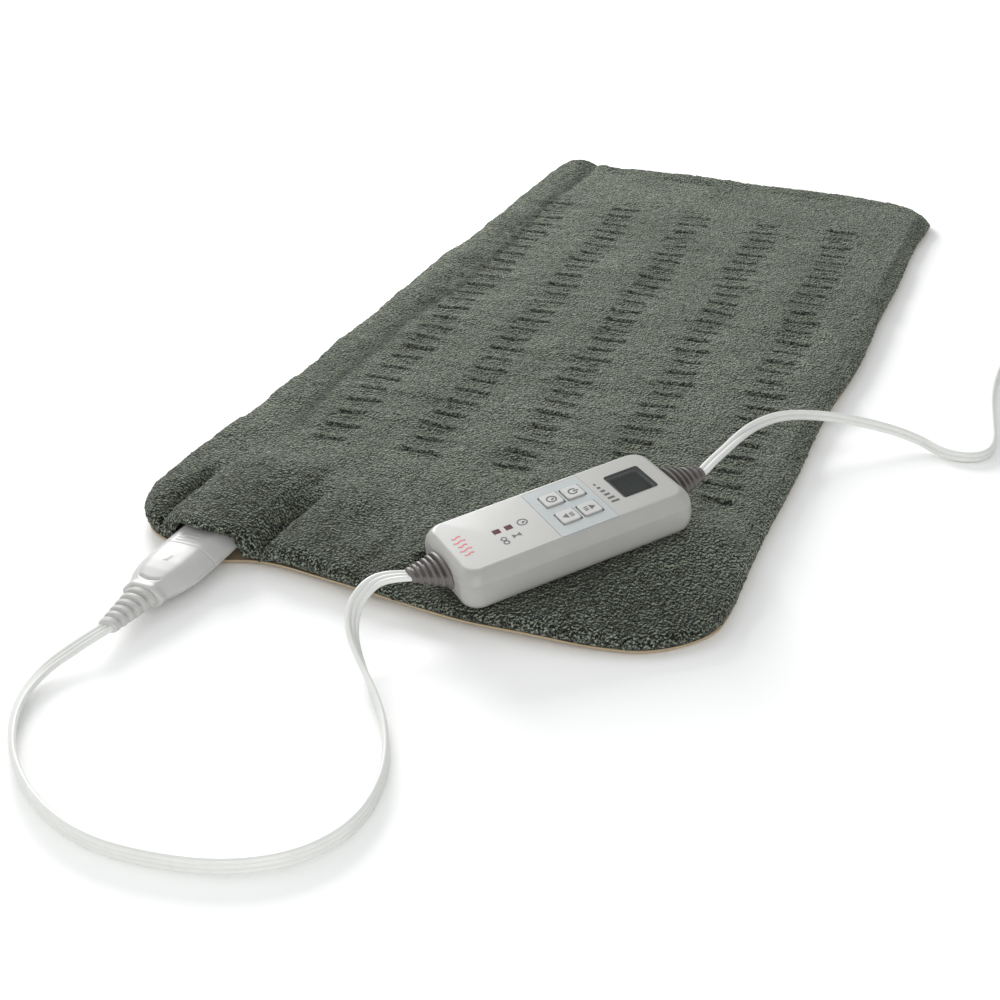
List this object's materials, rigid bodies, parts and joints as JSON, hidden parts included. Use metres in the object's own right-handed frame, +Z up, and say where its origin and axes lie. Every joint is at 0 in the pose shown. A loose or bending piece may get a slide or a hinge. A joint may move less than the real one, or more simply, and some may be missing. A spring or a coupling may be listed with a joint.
{
  "type": "electric heating pad",
  "caption": "Plush electric heating pad with plug-in lead, in-line hand controller with display and four keys, and mains plug.",
  "frame": {"origin": "centre of the pad's underside, on the surface it lies on", "axes": "+X across the pad, +Y along it away from the edge where the lead plugs in, +Z up"},
  "size_m": [0.482, 0.8048, 0.0441],
  "materials": {
    "plush": "curly green-grey plush",
    "tan_cloth": "smooth tan tricot",
    "felt": "needled felt",
    "thread": "stitching",
    "wire_white": "extruded insulation",
    "cutout_black": "sleeved",
    "socket_plastic": "moulded",
    "contact_metal": "plated",
    "connector_white": "satin moulded",
    "cord_white": "satin PVC",
    "case_white": "fine satin moulded",
    "relief_grey": "soft moulded",
    "panel_blue": "satin",
    "key_white": "silicone",
    "board": "solder mask",
    "part_black": "moulded",
    "display": "display glass",
    "clear_window": "clear polished",
    "led_window": "dark red tinted",
    "led": "tinted epoxy",
    "capacitor": "moulded box",
    "steel": "zinc plated",
    "blade_metal": "plated",
    "tie_strap": "woven hook-and-loop strap"
  },
  "bodies": {
    "pad": {"cover_top": "plush", "cover_back": "tan_cloth", "carrier_lower": "felt", "carrier_upper": "felt", "carrier_tacks": "thread", "padding_sheet": "felt", "heating_wire": "wire_white", "supply_lead": "wire_white", "return_lead": "wire_white", "thermal_cutouts": "cutout_black", "socket_pins": "contact_metal", "socket_lower": "socket_plastic", "socket_upper": "socket_plastic"},
    "lead": {"connector_nose": "connector_white", "connector_handle": "connector_white", "connector_contacts": "contact_metal", "connector_relief": "connector_white", "loop_cord": "cord_white", "mains_cord": "cord_white", "mains_cord_tail": "cord_white", "mains_coil": "cord_white", "coil_tie": "tie_strap", "plug_body": "connector_white", "plug_blades": "blade_metal"},
    "controller": {"case_top": "case_white", "case_bottom": "case_white", "case_screws": "steel", "keypad_panel": "panel_blue", "tact_switches": "part_black", "main_board": "board", "lcd_module": "display", "lcd_window": "clear_window", "indicator_windows": "led_window", "indicator_leds": "led", "control_chip": "part_black", "triac": "part_black", "suppression_capacitor": "capacitor", "board_fuse": "clear_window", "case_relief_pad": "relief_grey", "case_relief_mains": "relief_grey"},
    "key_power": {"key_power": "key_white"},
    "key_auto_off": {"key_auto_off": "key_white"},
    "key_heat_up": {"key_heat_up": "key_white"},
    "key_heat_down": {"key_heat_down": "key_white"}
  },
  "joints": [
    {"name": "unplug", "type": "slide", "parent": "pad", "child": "lead", "axis": [0, -1, 0], "range_m": [0, 0.022]},
    {"name": "lift_controller", "type": "slide", "parent": "lead", "child": "controller", "axis": [0, 0, 1], "range_m": [0, 0.04]},
    {"name": "key_power_press", "type": "slide", "parent": "controller", "child": "key_power", "axis": [0.0478, 0.0849, -0.9952], "range_m": [0, 0.0008], "stiffness_N_per_m": 2200},
    {"name": "key_auto_off_press", "type": "slide", "parent": "controller", "child": "key_auto_off", "axis": [0.0478, 0.0849, -0.9952], "range_m": [0, 0.0008], "stiffness_N_per_m": 2200},
    {"name": "key_heat_up_press", "type": "slide", "parent": "controller", "child": "key_heat_up", "axis": [0.0478, 0.0849, -0.9952], "range_m": [0, 0.0008], "stiffness_N_per_m": 2200},
    {"name": "key_heat_down_press", "type": "slide", "parent": "controller", "child": "key_heat_down", "axis": [0.0478, 0.0849, -0.9952], "range_m": [0, 0.0008], "stiffness_N_per_m": 2200}
  ]
}
